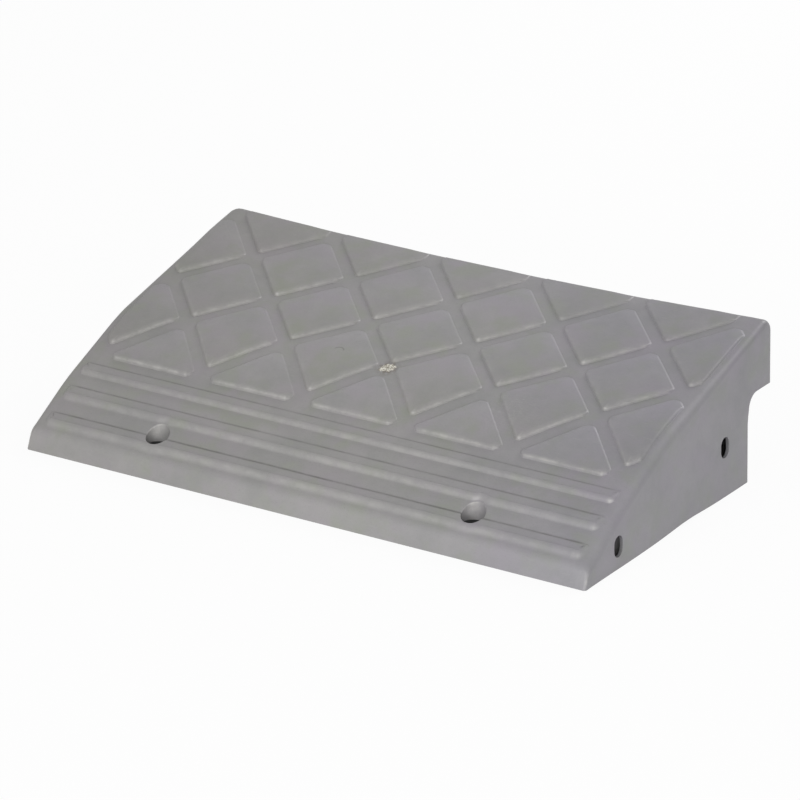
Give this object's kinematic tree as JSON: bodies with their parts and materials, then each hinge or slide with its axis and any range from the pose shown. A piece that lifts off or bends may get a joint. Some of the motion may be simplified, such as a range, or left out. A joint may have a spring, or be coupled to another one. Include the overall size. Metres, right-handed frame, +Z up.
{
  "type": "kerb ramp",
  "caption": "Kerb ramp in grey moulded plastic: a hollow wedge with diamond tread pads, grip ridges, anchor sockets, and a lip that lies over the kerb.",
  "frame": {"origin": "middle of the footprint's bounding box, on the ground", "axes": "+X along the kerb to the right as seen from the road, +Y up the slope towards the kerb, +Z up"},
  "size_m": [0.6, 0.336, 0.1455],
  "materials": {
    "grey_plastic": "fine moulded satin, lightly scuffed",
    "gate_plastic": "rough cut sprue stub"
  },
  "bodies": {
    "root": {"deck": "grey_plastic", "toe": "grey_plastic", "back_wall": "grey_plastic", "lip_walls": "grey_plastic", "end_wall_left": "grey_plastic", "end_wall_right": "grey_plastic", "anchor_socket_left": "grey_plastic", "anchor_socket_right": "grey_plastic", "gate_mark": "gate_plastic", "grip_ridge_1": "grey_plastic", "grip_ridge_2": "grey_plastic", "grip_ridge_3": "grey_plastic", "tread_pad_1_1": "grey_plastic", "tread_pad_1_2": "grey_plastic", "tread_pad_1_3": "grey_plastic", "tread_pad_1_4": "grey_plastic", "tread_pad_1_5": "grey_plastic", "tread_pad_2_1": "grey_plastic", "tread_pad_2_2": "grey_plastic", "tread_pad_2_3": "grey_plastic", "tread_pad_2_4": "grey_plastic", "tread_pad_2_5": "grey_plastic", "tread_pad_2_6": "grey_plastic", "tread_pad_3_1": "grey_plastic", "tread_pad_3_2": "grey_plastic", "tread_pad_3_3": "grey_plastic", "tread_pad_3_4": "grey_plastic", "tread_pad_3_5": "grey_plastic", "tread_pad_4_1": "grey_plastic", "tread_pad_4_2": "grey_plastic", "tread_pad_4_3": "grey_plastic", "tread_pad_4_4": "grey_plastic", "tread_pad_4_5": "grey_plastic", "tread_pad_4_6": "grey_plastic", "tread_pad_5_1": "grey_plastic", "tread_pad_5_2": "grey_plastic", "tread_pad_5_3": "grey_plastic", "tread_pad_5_4": "grey_plastic", "tread_pad_5_5": "grey_plastic", "long_rib_1": "grey_plastic", "long_rib_2": "grey_plastic", "long_rib_3": "grey_plastic", "long_rib_4": "grey_plastic", "long_rib_5": "grey_plastic", "long_rib_6": "grey_plastic", "long_rib_7": "grey_plastic", "long_rib_8": "grey_plastic", "long_rib_9": "grey_plastic", "cross_rib_1": "grey_plastic", "cross_rib_2": "grey_plastic", "cross_rib_3": "grey_plastic", "lip_web_1": "grey_plastic", "lip_web_2": "grey_plastic", "lip_web_3": "grey_plastic", "lip_web_4": "grey_plastic", "lip_web_5": "grey_plastic", "lip_web_6": "grey_plastic", "lip_web_7": "grey_plastic", "lip_web_8": "grey_plastic", "lip_web_9": "grey_plastic"}
  },
  "joints": []
}
